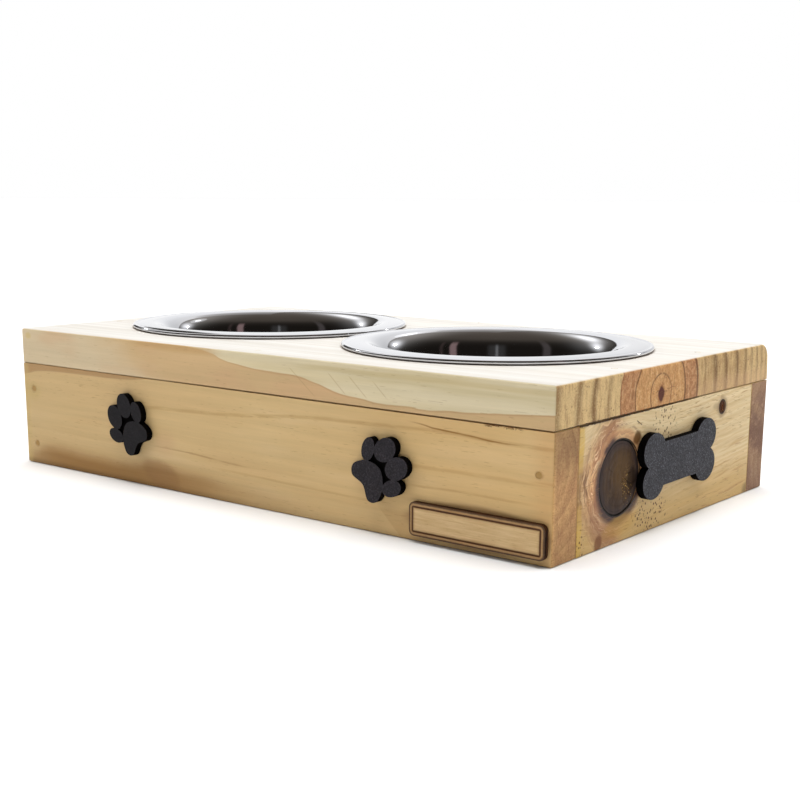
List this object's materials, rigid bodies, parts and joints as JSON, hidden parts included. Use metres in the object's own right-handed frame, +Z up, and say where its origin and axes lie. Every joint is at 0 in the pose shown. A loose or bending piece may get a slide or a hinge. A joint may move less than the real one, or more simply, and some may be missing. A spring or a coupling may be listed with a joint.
{
  "type": "pet feeder",
  "caption": "Low open-bottomed pine stand whose top has round cut-outs for lift-out pressed steel bowls; paw, bone and blank name badges on its sides.",
  "frame": {"origin": "centre of the whole feeder's box, badges included, at floor level", "axes": "+X along the length, from the left-hand bowl to the right-hand bowl; -Y towards the front face with the paw badges; +Z up, out of the bowls"},
  "size_m": [0.3964, 0.233, 0.0879],
  "materials": {
    "pale_pine": "bare sanded pine, pale sapwood with a pink heart strip",
    "honey_pine": "bare sanded pine, honey coloured, straight grained",
    "knotty_pine": "bare sanded pine with a large dark dead knot on the right-hand end",
    "polished_steel": "polished stainless steel",
    "black_paint": "fibreboard in matt black paint with black edges",
    "scorched_ply": "thin ply, its edge browned by a laser",
    "bright_steel": "drawn steel wire"
  },
  "bodies": {
    "stand": {"top_board": "pale_pine", "front_board": "honey_pine", "rear_board": "honey_pine", "left_end_board": "knotty_pine", "right_end_board": "knotty_pine", "left_paw_badge": "black_paint", "right_paw_badge": "black_paint", "bone_badge": "black_paint", "name_plaque": "scorched_ply", "front_brad_left_lower": "bright_steel", "front_brad_left_upper": "bright_steel", "front_brad_right_lower": "bright_steel", "front_brad_right_upper": "bright_steel", "rear_brad_left_lower": "bright_steel", "rear_brad_left_upper": "bright_steel", "rear_brad_right_lower": "bright_steel", "rear_brad_right_upper": "bright_steel", "top_brad_front_middle": "bright_steel", "top_brad_left_front": "bright_steel", "top_brad_left_rear": "bright_steel", "top_brad_rear_middle": "bright_steel", "top_brad_right_front": "bright_steel", "top_brad_right_rear": "bright_steel"},
    "left_bowl": {"left_bowl": "polished_steel"},
    "right_bowl": {"right_bowl": "polished_steel"}
  },
  "joints": [
    {"name": "left_bowl_lift", "type": "slide", "parent": "stand", "child": "left_bowl", "axis": [0, 0, 1], "range_m": [0, 0.08]},
    {"name": "right_bowl_lift", "type": "slide", "parent": "stand", "child": "right_bowl", "axis": [0, 0, 1], "range_m": [0, 0.08]}
  ]
}
